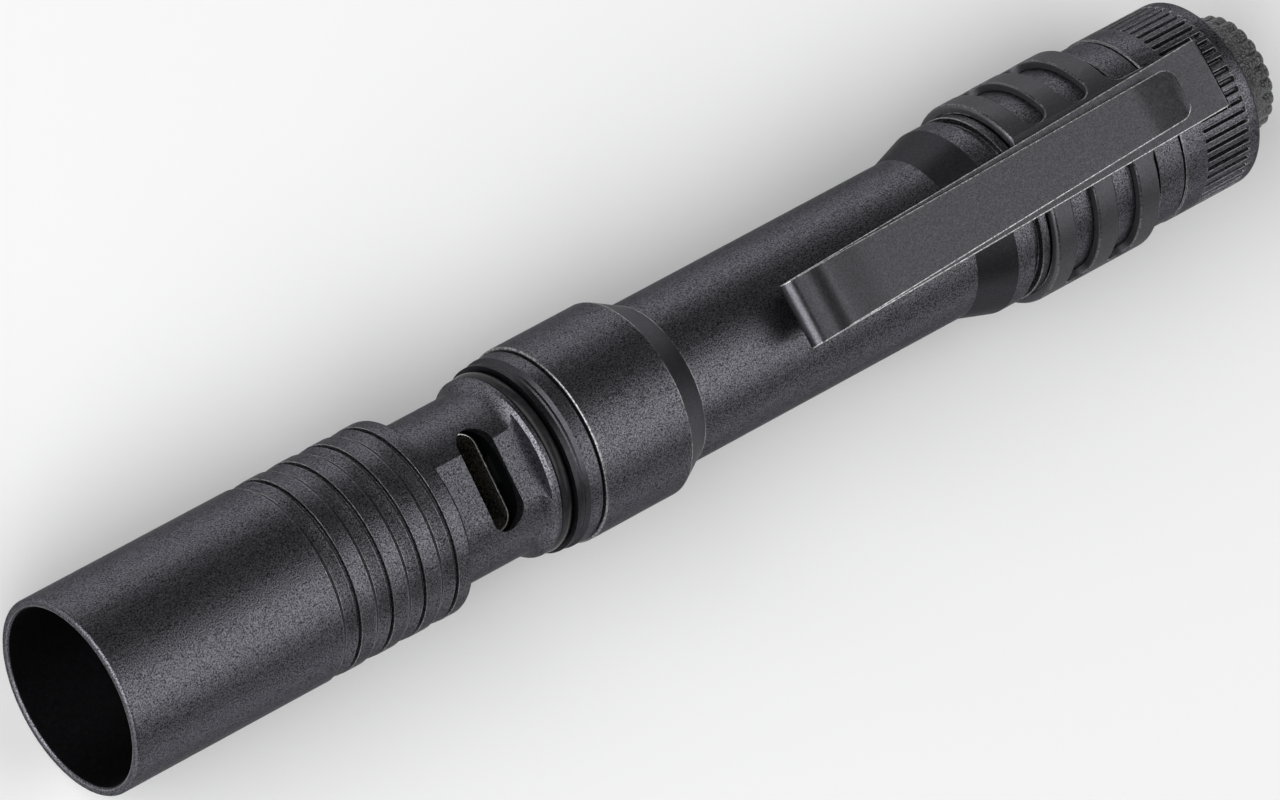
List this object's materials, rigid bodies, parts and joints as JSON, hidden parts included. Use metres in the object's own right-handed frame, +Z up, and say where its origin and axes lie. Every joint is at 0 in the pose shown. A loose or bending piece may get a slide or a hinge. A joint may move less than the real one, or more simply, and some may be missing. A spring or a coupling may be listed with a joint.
{
  "type": "penlight",
  "caption": "Slim rechargeable penlight with a sliding head sleeve over its charging port, a folded two-way pocket clip, a slotted grip ring and a push button in the tail.",
  "frame": {"origin": "on the ground under the middle of the light's length", "axes": "+X along the light towards the beam, +Z up towards the pocket clip, Y across"},
  "size_m": [0.127, 0.0184, 0.0201],
  "materials": {
    "anodised_body": "bead-blasted, black anodised",
    "bezel_metal": "smooth black anodised",
    "grip_plastic": "smooth satin black",
    "clip_steel": "satin black coating on spring steel",
    "button_rubber": "matt grainy rubber",
    "seal_rubber": "smooth greased rubber",
    "lens_glass": "clear, coated",
    "reflector_metal": "bright metal coat, fine orange peel",
    "lamp_phosphor": "yellow phosphor under a clear dome",
    "lamp_board_metal": "white solder mask",
    "lead_plastic": "insulated wire",
    "circuit_board": "green solder mask",
    "chip_plastic": "moulded black",
    "port_steel": "drawn bright steel",
    "port_plastic": "moulded black",
    "contact_brass": "bright",
    "cell_can": "plain coloured shrink wrap",
    "switch_plastic": "moulded",
    "spring_steel": "bright wire"
  },
  "bodies": {
    "body": {"neck_tube": "anodised_body", "bezel_ring": "bezel_metal", "lens_seal": "seal_rubber", "lens": "lens_glass", "reflector": "reflector_metal", "lamp_chip": "lamp_phosphor", "lamp_board": "lamp_board_metal", "lamp_leads": "lead_plastic", "front_seal_ring": "seal_rubber", "port_seal_ring": "seal_rubber", "charge_board": "circuit_board", "board_parts": "chip_plastic", "port_shell": "port_steel", "port_tongue": "port_plastic", "contact_board": "circuit_board", "front_contact_spring": "contact_brass", "joint_seal": "seal_rubber", "barrel": "anodised_body", "battery_cell": "cell_can", "grip_sleeve": "grip_plastic", "clip_base": "clip_steel", "tail_cap": "anodised_body", "tail_seal_ring": "seal_rubber", "switch_retainer": "contact_brass", "switch_board": "circuit_board", "switch_housing": "switch_plastic", "rear_contact_spring": "contact_brass", "switch_spring": "spring_steel"},
    "sleeve": {"head_sleeve": "anodised_body"},
    "button": {"tail_button": "button_rubber", "switch_plunger": "switch_plastic"},
    "clip": {"clip_arm": "clip_steel"},
    "strip": {"clip_strip": "clip_steel"}
  },
  "joints": [
    {"name": "sleeve_slide", "type": "slide", "parent": "body", "child": "sleeve", "axis": [-1, 0, 0], "range_m": [0, 0.0111]},
    {"name": "button_press", "type": "slide", "parent": "body", "child": "button", "axis": [1, 0, 0], "range_m": [0, 0.0015], "stiffness_N_per_m": 1500, "deforming": ["switch_spring"]},
    {"name": "clip_lift", "type": "hinge", "parent": "body", "child": "clip", "pos_m": [-0.04673, 0, 0.0187], "axis": [0, -1, 0], "range_deg": [0, 4], "stiffness_Nm_per_rad": 0.5},
    {"name": "strip_lift", "type": "hinge", "parent": "clip", "child": "strip", "pos_m": [-0.00912, 0, 0.0193], "axis": [0, 1, 0], "range_deg": [0, 6], "stiffness_Nm_per_rad": 0.5}
  ]
}
